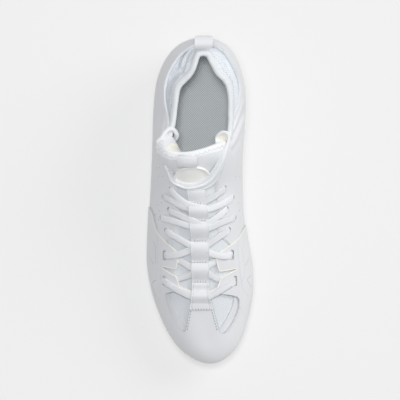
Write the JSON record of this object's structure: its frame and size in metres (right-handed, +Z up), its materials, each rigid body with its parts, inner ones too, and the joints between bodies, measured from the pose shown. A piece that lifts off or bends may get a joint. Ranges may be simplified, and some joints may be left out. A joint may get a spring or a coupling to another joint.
{
  "type": "lacrosse cleat",
  "caption": "Right lacrosse cleat with a moulded studded plate, hollow synthetic shell, knit vamp and ankle sleeve, padded tongue, laces under a webbing lace keeper, and pull loops.",
  "frame": {"origin": "on the floor under the middle of the shoe's box, on the plane of the stud tips", "axes": "+Z up, +Y towards the heel, +X towards the medial (big-toe) side"},
  "size_m": [0.0954, 0.2948, 0.1155],
  "materials": {
    "plate": "satin moulded plate",
    "shell": "smooth synthetic leather",
    "knit": "stretch knit",
    "sockliner": "mesh-covered foam",
    "webbing": "ribbed webbing",
    "lace": "oval woven lace",
    "patch": "soft moulded patch"
  },
  "bodies": {
    "root": {"outsole": "plate", "upper": "shell", "vamp": "knit", "tongue": "knit", "cuff": "knit", "insole": "sockliner", "lace_keeper": "webbing", "lace_cross_1": "lace", "lace_cross_2": "lace", "lace_cross_3": "lace", "lace_cross_4": "lace", "lace_bar": "lace", "tongue_patch": "patch", "tongue_loop": "webbing", "heel_loop": "webbing"}
  },
  "joints": []
}
